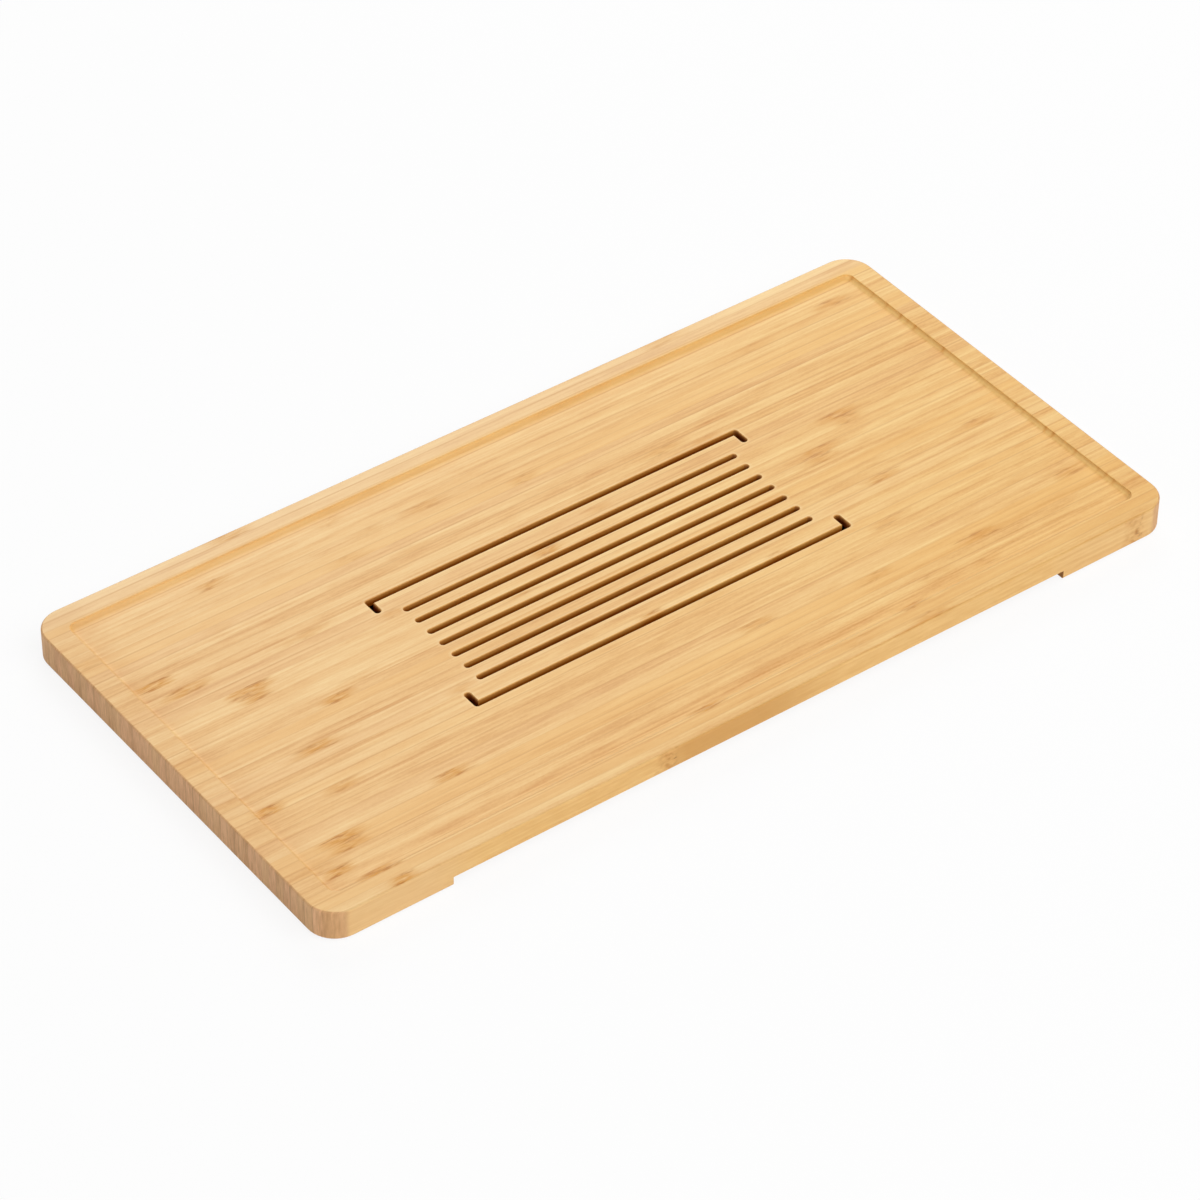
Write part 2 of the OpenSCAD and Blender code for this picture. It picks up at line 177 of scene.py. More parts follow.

# The same for shades that change with the way a face looks, by one part of its normal
EDGE_LOOKS = (0.5, 0.9)
ROUNDED_LOOKS = (0.1, 0.45)
ROUNDED_ENDS = (0.98, 0.8)
END_LOOKS = (0.10, 0.32)
SLANTING_LOOKS = (0.98, 0.75)
WALL_LOOKS = (0.97, 0.55)
COVE_LOOKS = (0.99, 0.9)
COVE_ENDS = (0.4, 0.7)
LEFT_LOOKS = (-0.2, -0.6)

# Colours of the grain from dark to light, each with its place on the scale of lightness
GRAIN_COLOURS = [(0.0, srgb(208, 142, 62)), (0.45, srgb(236, 188, 121)), (1.0, srgb(253, 220, 160))]

# Other colours in the grain, and a painted sheen towards the rear and the left. A second value is how
# strongly a colour shows at most
GOLDEN_STRIP = (srgb(240, 188, 112), 0.45)
ROSY_STRIP = (srgb(238, 194, 144), 0.20)
SHEEN_REAR_LEFT = (srgb(253, 220, 178), 0.16)
SHEEN_REAR_RIM = (srgb(255, 228, 184), 0.26)
JOINT_COLOUR = srgb(196, 132, 62)
VESSEL = (srgb(186, 128, 66), 0.08)
KNUCKLE_PATCH = (srgb(217, 153, 66), 1.0)
KNUCKLE_DASH = (srgb(187, 121, 45), 0.95)
KNUCKLE_SCAR = (srgb(190, 125, 50), 0.45)
KNUCKLE_FLECK = (srgb(250, 212, 150), 0.55)

# Colours of the strips cut across
CUT_PINK = srgb(236, 187, 140)
CUT_YELLOW = srgb(228, 183, 133)
CUT_STRIPE = srgb(182, 131, 84)
CUT_DOT = (srgb(150, 102, 62), 0.22)
CUT_JOINT = (srgb(140, 94, 58), 0.8)
CUT_SLANTING = (srgb(218, 165, 106), 0.35)

# Colours of a strip's broad side
BROAD_DARK = srgb(226, 168, 90)
BROAD_PALE = srgb(250, 207, 136)
BROAD_FOOT = srgb(238, 201, 154)
BROAD_AGED = (srgb(214, 156, 80), 0.75)
BROAD_RING = (srgb(202, 136, 60), 0.75)
BROAD_RING_EDGE = (srgb(150, 92, 34), 0.75)

# Painted light on the recess's right wall and its ticks at the joints, and a painted highlight on the
# slots' lips
RIGHT_WALL_LIGHT = srgb(255, 213, 138)
RIGHT_WALL_LIGHT_TICK = srgb(236, 176, 98)
RIGHT_WALL_LIGHT_SHARE = 0.68          # how strongly the wall takes on its painted light
SLOT_LIP_HIGHLIGHT = (srgb(254, 224, 168), 0.32)

# What the bamboo's colour is multiplied by in some places: the front right without the painted sheen,
# painted shade, and on the recess's walls also the deeper colour of the milled cut
UNSHEENED_FRONT_RIGHT_TINT = srgb(251, 246, 224)
SHADED_LEFT_OR_FRONT_TINT = srgb(250, 247, 244)
ROUNDED_SHADE_TINT = srgb(242, 240, 236)
FOOT_END_TINT = srgb(184, 166, 122)
WALL_CUT_AND_SHADE_TINT = srgb(255, 255, 250)
RIGHT_WALL_CUT_AND_SHADE_TINT = srgb(252, 240, 216)
COVE_CUT_AND_SHADE_TINT = srgb(247, 243, 229)
SLOT_WALL_SHADE_TINT = srgb(242, 218, 168)
SLOT_SHADE_TINT = srgb(172, 128, 50)

# Surfaces: each material's roughness, and the height of its bumps in metres
BAMBOO_ROUGH, BAMBOO_BUMP = 0.48, 0.00006
PLASTIC_ROUGH, PLASTIC_BUMP = 0.52, 0.00003
ZINC_ROUGH, ZINC_BUMP = 0.30, 0.00001
BRASS_ROUGH, BRASS_BUMP = 0.27, 0.00001
SILICONE_ROUGH, SILICONE_BUMP = 0.50, 0.00002
BAMBOO_GLOSS = 0.30
SILICONE_MILKY = 0.15            # share of the light that goes into the silicone
SILICONE_REACH = 0.001           # and how far it goes, in metres

# Linear colours of the small parts' materials
PLASTIC_DARK = (0.020, 0.020, 0.022, 1)
PLASTIC_PALE = (0.034, 0.034, 0.036, 1)
PLASTIC_SCUFF = (0.085, 0.085, 0.088, 1)
ZINC_DULL = (0.56, 0.57, 0.58, 1)
ZINC_BRIGHT = (0.76, 0.76, 0.75, 1)
BRASS_BRIGHT = (0.74, 0.55, 0.25, 1)
BRASS_DULL = (0.58, 0.39, 0.15, 1)
SILICONE_DARK = (0.56, 0.55, 0.51, 1)
SILICONE_PALE = (0.66, 0.65, 0.61, 1)
SILICONE_DUST = (0.40, 0.39, 0.36, 1)

# The drain and the pads, in millimetres
TURN_SIDES = 48
RINGS_PER_TURN = 8               # rings of points in each turn of the thread
CORNER_STEPS = 4                 # stretches in each rounded corner
SHARP_ANGLE = 32                 # edges sharper than this are not smoothed, in degrees
SAME_POINT = 1e-7                # points closer than this are one point, in metres
EASE = 0.15                      # small bevels
FLANGE_T = 1.2
FLANGE_R = 4
THREAD_R = 3
THREAD_PITCH = 0.75
THREAD_DEPTH = 0.32
THREAD_PAST_NUT = 1
TAIL_R = 2.8
TAIL_CHAMFER = 0.5
BORE_R = 2
NUT_BORE_R = 3.05
NUT_CHAMFER = 0.35
GASKET_ROUND = 0.25
STEM_R = 1.95
PLUG_ROUND = 0.6
GRIPS = 6
GRIP_DEPTH = 0.25
PAD_ROUND = 0.5
HOLLOW = 0.3                     # depth of the hollow under a pad
HOLLOW_FLAT = 0.52               # where the hollow's flat part ends, in pad radii
HOLLOW_EDGE = 0.58               # where the hollow ends, in pad radii

# Light and camera, in metres
CAMERA_AT = (-1.2766, -1.6781, 1.8059)
CAMERA_HEADING = 37.11           # degrees from +Y towards +X
CAMERA_DOWN = 40.73              # degrees below the horizon
CAMERA_ROLL = 0.74
CAMERA_LENS = 143.55             # in millimetres, as is the sensor
SENSOR_W = 36
VIEW_DEPTH = 100
AMBIENT = 0.15                   # how bright the white around the tray is as a source of light
LIGHTS = [                       # soft square lights: name, place, side and watts
    ("key", (1.3, -3.3, 4.9), 5.5, 297),
    ("back", (1.9, 2.6, 2.3), 2.6, 60),
    ("left", (-4.0, -1.2, 1.2), 2.5, 35),
]
WHITE = (1, 1, 1, 1)
FLOOR_COLOUR = (0.95, 0.95, 0.95, 1)
FLOOR_ROUGH = 0.9
FLOOR_GLOW = 0.88                # share of plain white in the floor where it is seen
FLOOR_REACH = 30                 # from the floor's middle to its sides


class Graph:
    """A material's nodes, made by short calls. A value is a socket or a plain constant."""

    def __init__(self, name):
        self.material = bpy.data.materials.new(name)
        self.material.use_nodes = True
        self.nodes = self.material.node_tree.nodes
        self.links = self.material.node_tree.links
        self.shader = self.nodes["Principled BSDF"]

    def put(self, socket, value):
        if isinstance(value, bpy.types.NodeSocket):
            self.links.new(value, socket)
        else:
            socket.default_value = value

    def add(self, kind, inputs, **settings):
        node = self.nodes.new(kind)
        for key, value in settings.items():
            setattr(node, key, value)
        for key, value in inputs.items():
            self.put(node.inputs[key], value)
        return node

    def math(self, operation, *values, clamp=False):
        inputs = dict(enumerate(values))
        return self.add("ShaderNodeMath", inputs, operation=operation, use_clamp=clamp).outputs[0]

    def minus(self, a, b):
        return self.math("SUBTRACT", a, b)

    def between(self, share, low, high):
        """A number that goes evenly from low to high as the share goes from 0 to 1."""
        return self.math("MULTIPLY_ADD", share, high - low, low)

    def absolute(self, value):
        return self.math("ABSOLUTE", value)

    def total(self, *parts):
        """A constant, then pairs of a socket and its weight, added up."""
        result = parts[0]
        for socket, weight in parts[1:]:
            result = self.math("MULTIPLY_ADD", socket, weight, result)
        return result

    def product(self, *factors):
        result = factors[0]
        for factor in factors[1:]:
            result = self.math("MULTIPLY", result, factor)
        return result

    def vector(self, operation, *values):
        inputs = dict(enumerate(values))
        return self.add("ShaderNodeVectorMath", inputs, operation=operation).outputs[0]

    def length(self, x, y):
        inputs = {0: self.join(x, y)}
        return self.add("ShaderNodeVectorMath", inputs, operation="LENGTH").outputs["Value"]

    def split(self, vector):
        return self.add("ShaderNodeSeparateXYZ", {0: vector}).outputs

    def join(self, x=0.0, y=0.0, z=0.0):
        return self.add("ShaderNodeCombineXYZ", {0: x, 1: y, 2: z}).outputs[0]

    def remap(self, value, low, high, to_low=0.0, to_high=1.0):
        """A smooth step from to_low to to_high as the value goes from low to high."""
        inputs = {"Value": value, "From Min": low, "From Max": high, "To Min": to_low, "To Max": to_high}
        return self.add("ShaderNodeMapRange", inputs, interpolation_type="SMOOTHSTEP").outputs[0]

    def near(self, value, reach):
        """1 where the value is 0, falling smoothly to 0 where it is as large as reach either way."""
        return self.remap(self.absolute(value), reach, 0)

    def choose(self, factor, a, b):
        """The number a where the factor is 0, and b where it is 1."""
        return self.add("ShaderNodeMix", {0: factor, 2: a, 3: b}).outputs[0]

    def mix(self, factor, a, b, blend="MIX"):
        inputs = {0: factor, 6: a, 7: b}
        return self.add("ShaderNodeMix", inputs, data_type="RGBA", blend_type=blend).outputs[2]

    def lay(self, under, where, colour, strength=1.0):
        """Lays a colour over another where a factor is 1, at most as strongly as given."""
        return self.mix(self.product(where, strength), under, colour)

    def tint(self, under, where, colour):
        """Multiplies a colour by another one where a factor is 1."""
        return self.mix(where, under, colour, "MULTIPLY")

    def ramp(self, value, stops, interpolation="LINEAR"):
        """A colour that runs through the stops, each a place from 0 to 1 and its colour."""
        node = self.add("ShaderNodeValToRGB", {0: value})
        node.color_ramp.interpolation = interpolation
        elements = node.color_ramp.elements
        elements.remove(elements[1])
        elements[0].color = stops[0][1]
        for at, colour in stops[1:]:
            elements.new(at).color = colour
        return node.outputs[0]

    def place(self):
        """The point's place in the row frame, in millimetres."""
        metres = self.nodes.new("ShaderNodeTexCoord").outputs["Object"]
        return self.add("ShaderNodeVectorMath", {0: metres, 3: MM}, operation="SCALE").outputs[0]

    def noise(self, place, lengths, seed=0.0, detail=2.0, rough=0.5):
        """Noise from -1 to 1 whose lumps have these lengths along X, Y and Z."""
        scales = [1 / length for length in lengths]
        stretched = self.vector("MULTIPLY_ADD", place, scales, (seed, 2 * seed, -seed))
        inputs = {"Vector": stretched, "Scale": 1.0, "Detail": detail, "Roughness": rough}
        return self.between(self.add("ShaderNodeTexNoise", inputs).outputs[0], -1, 1)

    def chance(self, value, seed=0.0):
        """Three random numbers from 0 to 1 for each value."""
        inputs = {"W": self.math("ADD", value, seed)}
        return self.split(self.add("ShaderNodeTexWhiteNoise", inputs, noise_dimensions="1D").outputs[1])

    def bump(self, height, distance, strength=1.0):
        inputs = {"Height": height, "Distance": distance, "Strength": strength}
        return self.add("ShaderNodeBump", inputs).outputs[0]

    def finish(self, **values):
        for key, value in values.items():
            self.put(self.shader.inputs[key.replace("_", " ")], value)
        return self.material


def find_strip(g, place, y):
    """The point's strip, where across it the point is, the nearest joint and the distance to it."""
    wobble = g.noise(place, (90, 9, 30), seed=3.1, detail=1)
    from_front = g.math("DIVIDE", g.minus(y, BOARD_LOW.y), STRIP_W)
    from_front = g.math("MULTIPLY_ADD", wobble, JOINT_WOBBLE, from_front)
    strip = g.math("MINIMUM", g.math("MAXIMUM", g.math("FLOOR", from_front), 0.0), STRIPS - 1)
    middle = g.minus(g.minus(from_front, strip), 0.5)
    joint = g.math("ROUND", from_front)
    from_joint = g.product(g.minus(from_front, joint), STRIP_W)
    return strip, middle, joint, from_joint


def knuckle_rows():
    """For each strip, its knuckles' places along X and how strongly they show, all from 0 to 1."""
    rng = random.Random(KNUCKLE_SEED)
    places, strengths = [], []
    for strip in range(STRIPS):
        found = [(x, s) for x, y, s in KNUCKLES if int((y - BOARD_LOW.y) / STRIP_W) == strip]
        if len(found) < KNUCKLES_PER_STRIP - 1:
            found.append((rng.uniform(BOARD_LOW.x, BOARD_HIGH.x), rng.uniform(*FAINT_KNUCKLE)))
        found += [(-FAR_OFF, 0)] * (KNUCKLES_PER_STRIP - len(found))
        places.append([(x + FAR_OFF) / (2 * FAR_OFF) for x, _ in found])
        strengths.append([strength for _, strength in found])
    return places, strengths


def strip_table(g, strip, rows):
    """Looks up a strip's row of three numbers. A colour ramp has room for half of the strips."""
    half = STRIPS // 2
    colours = []
    for first in (0, half):
        stops = [(i / half, rows[first + i] + [1.0]) for i in range(half)]
        at = g.math("DIVIDE", g.math("ADD", strip, 0.5 - first), half)
        colours.append(g.ramp(at, stops, "CONSTANT"))
    late = g.math("GREATER_THAN", strip, half - 0.5)
    return g.add("ShaderNodeSeparateColor", {0: g.mix(late, *colours)}).outputs[:3]


def nearest_knuckle(g, x, strip):
    """How far away along X the strip's nearest knuckle is, its place and how strongly it shows."""
    places, strengths = knuckle_rows()
    spots = [g.between(at, -FAR_OFF, FAR_OFF) for at in strip_table(g, strip, places)]
    forces = strip_table(g, strip, strengths)
    away, spot, force = g.minus(x, spots[0]), spots[0], forces[0]
    for other, other_force in zip(spots[1:], forces[1:]):
        gap = g.minus(x, other)
        closer = g.math("LESS_THAN", g.absolute(gap), g.absolute(away))
        away = g.choose(closer, away, gap)
        spot = g.choose(closer, spot, other)
        force = g.choose(closer, force, other_force)
    return away, spot, force


def knuckles(g, x, middle, strip, lane):
    """Where a knuckle's soft patch, dark dashes, scar and pale fleck show, each from 0 to 1."""
    away, spot, force = nearest_knuckle(g, x, strip)

    # Each knuckle has its own length and slant, and its outline is torn along the fibres
    size, way, tear = g.chance(g.math("MULTIPLY_ADD", strip, 3.7, spot), 0.11)
    away = g.math("DIVIDE", away, g.between(size, *KNUCKLE_SIZES))
    away = g.total(away, (g.noise(lane, (12, 1.6, 3), seed=2.2), KNUCKLE_TEAR))
    along = g.product(away, g.math("SIGN", g.minus(way, 0.5)))
    up = g.total(0.0, (middle, 2.0), (g.noise(lane, (8, 2.5, 3), seed=7.9), 0.5))
    high = g.absolute(up)
    fray = g.remap(g.noise(lane, (9, 1.0, 1.2), seed=4.6), -0.35, 0.25, *FRAY)

    patch = g.product(g.near(along, PATCH_HALF), g.remap(high, 0.6, 1.2, 1, 0.5), fray, force)
    beside = g.math("MULTIPLY_ADD", g.math("SIGN", up), DASH_SHIFT, along)
    level = g.near(g.minus(high, DASH_HEIGHT), DASH_HALF_HEIGHT)
    bold = g.between(force, 0.25, 1)
    dash = g.product(g.near(beside, DASH_HALF), level, fray, force, bold)
    slanted = g.math("MULTIPLY_ADD", up, SCAR_SLANT, along)
    scar = g.product(g.near(slanted, SCAR_HALF), g.remap(high, 0.1, 0.8), force)
    fleck = g.product(g.near(along, FLECK_HALF), g.near(up, FLECK_HALF_HEIGHT), tear, force)
    return patch, dash, scar, fleck


def slot_gap(g, x, y):
    """Distance from the nearest slot's wall, in millimetres."""
    x, y = g.absolute(x), g.absolute(y)
    row = g.math("MINIMUM", g.math("ROUND", g.math("DIVIDE", y, SLOT_PITCH)), SLOT_ROWS)
    from_row = g.math("MULTIPLY_ADD", row, -SLOT_PITCH, y)
    straight = g.length(g.math("MAXIMUM", g.minus(x, SLOT_HALF), 0.0), from_row)
    run = g.length(g.math("MAXIMUM", g.minus(x, BRACKET_X), 0.0), g.minus(y, BRACKET_Y))
    past = g.math("MAXIMUM", g.minus(LEG_Y, y), g.minus(y, BRACKET_Y))
    leg = g.length(g.minus(x, BRACKET_X), g.math("MAXIMUM", past, 0.0))
    nearest = g.math("MINIMUM", g.math("MINIMUM", straight, run), leg)
    return g.minus(nearest, SLOT_R)


def shade_top(g, x, y, hue, grain):
    """The strips' own hues, a painted sheen towards the rear left and on the rear rim, and painted shade
    on the front rim and the left end.
    """
    grain = g.lay(grain, g.remap(hue, *GOLDEN_HUES), *GOLDEN_STRIP)
    grain = g.lay(grain, g.remap(hue, *ROSY_HUES), *ROSY_STRIP)
    # Painted sheen: paler towards the rear left, deeper towards the front right
    to_front_right = g.remap(g.total(0.0, (x, 0.8), (y, -0.5)), BOARD_LOW.x, BOARD_HIGH.x)
    sheened = g.lay(grain, 1.0, *SHEEN_REAR_LEFT)
    unsheened = g.tint(grain, 1.0, UNSHEENED_FRONT_RIGHT_TINT)
    grain = g.mix(to_front_right, sheened, unsheened)
    # Painted sheen on the rear rim
    grain = g.lay(grain, g.remap(y, *REAR_RIM_FROM), *SHEEN_REAR_RIM)
    # Painted shade on the front rim and the left end
    shaded_left_or_front = g.math("MAXIMUM", g.remap(x, *LEFT_END_FROM), g.remap(y, *FRONT_RIM_FROM))
    return g.tint(grain, shaded_left_or_front, SHADED_LEFT_OR_FRONT_TINT)


def end_grain(g, x, y, z, strip, side, line):
    """The strips cut across: dots of fibre in upright stripes, denser towards one side."""
    hue, tone, _ = g.chance(strip, 12.3)
    section = g.join(g.product(strip, STRIPE_SHIFT), y, z)
    stripe = g.noise(section, (1, STRIPE_W, STRIPE_H), seed=3.3, detail=3, rough=0.6)
    fibres = {"Vector": g.join(g.math("DIVIDE", x, DOT_STRETCH), y, z), "Scale": DOTS_PER_MM}
    from_fibre = g.add("ShaderNodeTexVoronoi", fibres).outputs["Distance"]
    dot = g.product(g.remap(from_fibre, 0.42, 0.16), g.total(DOT_SHARE, (side, DOT_SIDE_WEIGHT)))
    colour = g.mix(g.remap(hue, 0.25, 0.75), CUT_PINK, CUT_YELLOW)
    weights = (CUT_STRIPE_WEIGHT, CUT_TONE_WEIGHT, CUT_SIDE_WEIGHT)
    darkness = g.total(CUT_DARKNESS, *zip((stripe, tone, side), weights))
    colour = g.lay(colour, darkness, CUT_STRIPE)
    colour = g.lay(colour, dot, *CUT_DOT)
    return g.lay(colour, line, *CUT_JOINT)


def broad_side(g, x, y, place):
    """The broad side of one strip, on the board's long edges: pale, with a ring at each knuckle."""
    mottle = g.noise(place, (14, 3, 2.2), seed=4.4, detail=3, rough=0.6)
    long_grain = g.noise(place, (110, 3, 1.6), seed=6.1, detail=3)
    blots = g.noise(place, (4.5, 3, 3), seed=2.9, detail=2)
    behind = g.math("GREATER_THAN", y, 0.0)
    bent = g.math("MULTIPLY_ADD", g.noise(place, (6, 4, 5), seed=8.8), KNUCKLE_BEND, x)
    offsets = [
        g.minus(bent, g.choose(behind, front, rear))
        for front, rear in zip(FRONT_KNUCKLES, REAR_KNUCKLES)
    ]
    second = g.math("LESS_THAN", g.absolute(offsets[1]), g.absolute(offsets[0]))
    offset = g.choose(second, *offsets)
    ring = g.product(g.near(offset, RING_HALF), g.remap(blots, -0.30, 0.35, 0.25, 1))
    edge = g.near(g.minus(offset, RING_EDGE_SHIFT), RING_EDGE_HALF)
    edge = g.product(edge, g.remap(blots, -0.05, 0.30))
    in_front = g.minus(1.0, behind)
    aged = g.product(g.remap(bent, *AGED_STARTS), g.remap(x, *AGED_ENDS), in_front)
    at_left_foot = (g.remap(x, *LEFT_FOOT_FROM), LEFT_FOOT_SHARE)
    at_right_foot = (g.remap(x, *RIGHT_FOOT_FROM), RIGHT_FOOT_SHARE)
    paleness = g.total(BROAD_PALENESS, (mottle, MOTTLE_WEIGHT), (long_grain, LONG_GRAIN_WEIGHT))
    colour = g.mix(paleness, BROAD_DARK, BROAD_PALE)
    colour = g.lay(colour, g.total(0.0, at_left_foot, at_right_foot), BROAD_FOOT)
    colour = g.lay(colour, aged, *BROAD_AGED)
    colour = g.lay(colour, ring, *BROAD_RING)
    return g.lay(colour, edge, *BROAD_RING_EDGE)


def bamboo():
    """Side-pressed bamboo. Every strip runs along X and goes right through the board."""
    g = Graph("bamboo_oiled")
    place = g.place()
    x, y, z = g.split(place)
    normal_x, normal_y, normal_z = g.split(g.nodes.new("ShaderNodeTexCoord").outputs["Normal"])
    strip, middle, joint, from_joint = find_strip(g, place, y)
    tone, hue, way = g.chance(strip, 0.37)
    _, _, glue = g.chance(joint, 71.9)
    side = g.product(middle, g.between(way, -1, 1))

    # The grain differs from strip to strip
    lane = g.vector("ADD", place, g.join(g.product(strip, LANE_SHIFT)))
    layers = {name: g.noise(lane, row[0], row[1], GRAIN_DETAIL) for name, row in GRAIN.items()}
    lightening = [(layers[name], weight) for name, (_, _, weight, _) in GRAIN.items()]
    raising = [(layers[name], height) for name, (_, _, _, height) in GRAIN.items() if height]
    own_tone = (g.minus(tone, 0.5), TONE_WEIGHT)
    cloud = (g.noise(place, (190, 80, 60), seed=9.0, detail=1), CLOUD_WEIGHT)
    lightness = g.total(LIGHTNESS, own_tone, (side, SIDE_WEIGHT), cloud, *lightening)
    grain = shade_top(g, x, y, hue, g.ramp(lightness, GRAIN_COLOURS))

    # Joints, open vessels and knuckles
    patchy = g.noise(g.join(x, g.product(joint, JOINT_SHIFT), z), (120, 20, 60), seed=1.1)
    shows = g.remap(g.total(0.0, (patchy, 1.0), (glue, 0.9)), 0.05, 1.0, *JOINT_SHOWS)
    line = g.product(g.remap(g.absolute(from_joint), *JOINT_LINE), shows)
    vessel = g.remap(g.noise(lane, (30, 0.45, 0.6), seed=7.7, detail=1), 0.40, 0.68)
    grain = g.lay(grain, line, JOINT_COLOUR)
    grain = g.lay(grain, vessel, *VESSEL)
    patch, dash, scar, fleck = knuckles(g, x, middle, strip, lane)
    grain = g.lay(grain, patch, *KNUCKLE_PATCH)
    grain = g.lay(grain, dash, *KNUCKLE_DASH)
    grain = g.lay(grain, scar, *KNUCKLE_SCAR)
    grain = g.lay(grain, fleck, *KNUCKLE_FLECK)

    # The long edges, with painted shade on their rounded corners
    outward = g.absolute(normal_y)
    outermost = g.remap(g.absolute(y), *EDGE_FROM)
    on_edge = g.product(g.remap(outward, *EDGE_LOOKS), outermost)
    rounded = g.product(g.remap(outward, *ROUNDED_LOOKS), g.remap(outward, *ROUNDED_ENDS), outermost)
    colour = g.lay(grain, on_edge, broad_side(g, x, y, place))
    colour = g.tint(colour, rounded, ROUNDED_SHADE_TINT)

    # Outside the recess, every face that looks along X cuts the strips across
    above_floor = g.math("GREATER_THAN", z, RECESS_Z + JUST_ABOVE)
    within_x = g.math("LESS_THAN", g.absolute(x), RIM_X + NEAR_ENOUGH)
    within_y = g.math("LESS_THAN", g.absolute(y), RIM_Y + NEAR_ENOUGH)
    in_recess = g.product(above_floor, within_x, within_y)
    endways = g.absolute(normal_x)
    on_end = g.remap(endways, *END_LOOKS)
    on_cut = g.product(on_end, g.minus(1.0, in_recess))
    slanting = g.remap(endways, *SLANTING_LOOKS)
    cut_across = g.lay(end_grain(g, x, y, z, strip, side, line), slanting, *CUT_SLANTING)
    colour = g.lay(colour, on_cut, cut_across)

    # The feet's inner ends are in deep shade
    between_feet = g.math("LESS_THAN", g.absolute(x), FOOT_INNER_X + NEAR_ENOUGH)
    below_board = g.math("LESS_THAN", z, FOOT_TOP_Z)
    colour = g.tint(colour, g.product(on_end, between_feet, below_board), FOOT_END_TINT)

    # The recess's walls get the deeper colour of the milled cut and painted shade. The right one, which
    # looks to the left, gets painted golden light, and the joints make darker ticks on it
    steep = g.product(g.remap(normal_z, *WALL_LOOKS), in_recess)
    facing_left = g.remap(normal_x, *LEFT_LOOKS)
    colour = g.tint(colour, steep, g.mix(facing_left, WALL_CUT_AND_SHADE_TINT, RIGHT_WALL_CUT_AND_SHADE_TINT))
    cove = g.product(g.remap(normal_z, *COVE_LOOKS), g.remap(normal_z, *COVE_ENDS), in_recess)
    colour = g.tint(colour, cove, COVE_CUT_AND_SHADE_TINT)
    tick = g.product(g.near(from_joint, TICK_HALF), g.remap(glue, 0.3, 1.0))
    # Painted golden light on the right wall, with darker ticks at the joints
    right_wall_light = g.mix(tick, RIGHT_WALL_LIGHT, RIGHT_WALL_LIGHT_TICK)
    colour = g.lay(colour, g.product(facing_left, in_recess), right_wall_light, RIGHT_WALL_LIGHT_SHARE)

    # The slots' walls get painted shade, deeper lower down, and their lips a painted highlight
    gap = slot_gap(g, x, y)
    depth = g.minus(RECESS_Z, z)
    lip_highlight = g.product(g.remap(gap, *LIP_GAP), g.remap(depth, *LIP_DEPTH))
    colour = g.lay(colour, lip_highlight, *SLOT_LIP_HIGHLIGHT)
    slot_wall = g.remap(gap, *SLOT_WALL_GAP)
    colour = g.tint(colour, slot_wall, SLOT_WALL_SHADE_TINT)
    slot_shade = g.product(slot_wall, g.remap(depth, *SLOT_SHADE_DEPTH))
    colour = g.tint(colour, slot_shade, SLOT_SHADE_TINT)

    height = g.total(0.0, *raising, (vessel, -VESSEL_DEPTH), (line, -JOINT_DEPTH))
    rough = g.total(BAMBOO_ROUGH, (layers["streaks"], 0.05), (dash, -0.08), (on_cut, 0.16))
    gloss = g.total(BAMBOO_GLOSS, (slot_shade, -BAMBOO_GLOSS))
    bumps = g.bump(height, BAMBOO_BUMP, 0.35)
    return g.finish(Base_Color=colour, Roughness=rough, Specular_IOR_Level=gloss, Normal=bumps)


def pan_plastic():
    """Black moulded plastic with a fine spark-eroded texture and faint scuffs."""
    g = Graph("pan_plastic_moulded")
    place = g.place()
    grit = g.noise(place, (0.35, 0.35, 0.35), seed=1.3, detail=3, rough=0.7)
    cloud = g.noise(place, (24, 24, 24), seed=4.1)
    scuff = g.remap(g.noise(place, (34, 1.1, 3), seed=2.6), 0.38, 0.62)
    grey = g.math("MULTIPLY_ADD", grit, 0.3, 0.5, clamp=True)
    colour = g.lay(g.mix(grey, PLASTIC_DARK, PLASTIC_PALE), scuff, PLASTIC_SCUFF, 0.25)
    rough = g.total(PLASTIC_ROUGH, (grit, 0.08), (cloud, 0.05), (scuff, -0.10))
    return g.finish(Base_Color=colour, Roughness=rough, Normal=g.bump(grit, PLASTIC_BUMP, 0.5))


def zinc():
    """Bright zinc plating, a little cloudy."""
    g = Graph("screw_zinc")
    place = g.place()
    cloud = g.noise(place, (1.6, 1.6, 1.6), seed=2.4, detail=3)
    speck = g.noise(place, (0.2, 0.2, 0.2), seed=6.1)
    bright = g.math("MULTIPLY_ADD", cloud, 0.5, 0.5, clamp=True)
    colour = g.mix(bright, ZINC_DULL, ZINC_BRIGHT)
    rough = g.total(ZINC_ROUGH, (cloud, 0.07), (speck, 0.05))
    bumps = g.bump(speck, ZINC_BUMP, 0.4)
    return g.finish(Base_Color=colour, Metallic=1.0, Roughness=rough, Normal=bumps)


def turned_brass():
    """Brass with the fine rings that turning leaves round the drain's axis, along Y."""
    g = Graph("brass_turned")
    place = g.place()
    _, y, _ = g.split(place)
    rings = g.noise(g.join(0.0, y, 0.0), (1, 0.14, 1), seed=1.9, detail=3, rough=0.7)
    tarnish = g.noise(place, (3.5, 3.5, 3.5), seed=5.5, detail=3)
    dull = g.math("MULTIPLY_ADD", tarnish, 0.6, 0.45, clamp=True)
    colour = g.mix(dull, BRASS_BRIGHT, BRASS_DULL)
    rough = g.total(BRASS_ROUGH, (rings, 0.08), (tarnish, 0.06))
    bumps = g.bump(rings, BRASS_BUMP, 0.5)
    return g.finish(Base_Color=colour, Metallic=1.0, Roughness=rough, Normal=bumps)


